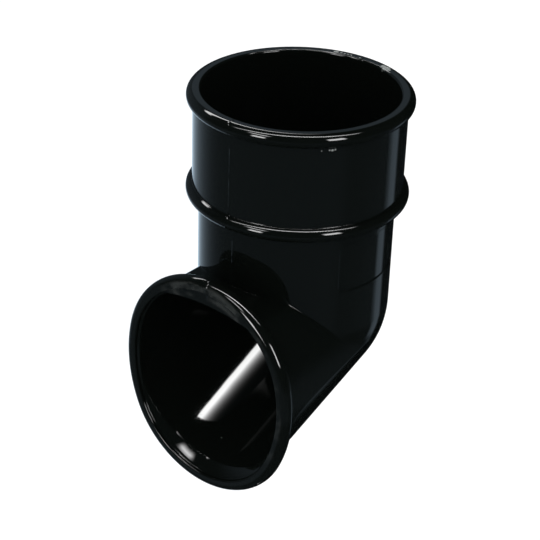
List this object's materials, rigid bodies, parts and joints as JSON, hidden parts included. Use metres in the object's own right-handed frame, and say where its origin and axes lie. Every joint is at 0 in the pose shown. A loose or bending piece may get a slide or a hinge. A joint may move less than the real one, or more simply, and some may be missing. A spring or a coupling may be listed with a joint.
{
  "type": "downpipe shoe",
  "caption": "Round rainwater downpipe shoe: a banded socket and a short body that turn into a low sloping leg with a rimmed oval outlet.",
  "frame": {"origin": "centre of the stop shoulder at the bottom of the socket, where the end of the downpipe seats", "axes": "+Z along the socket's axis and out of its mouth, outlet towards -Y, +X to the right seen from the outlet"},
  "size_m": [0.079, 0.0899, 0.1396],
  "materials": {
    "black_pvc": "gloss black moulded PVC"
  },
  "bodies": {
    "root": {"shoe": "black_pvc"}
  },
  "joints": []
}
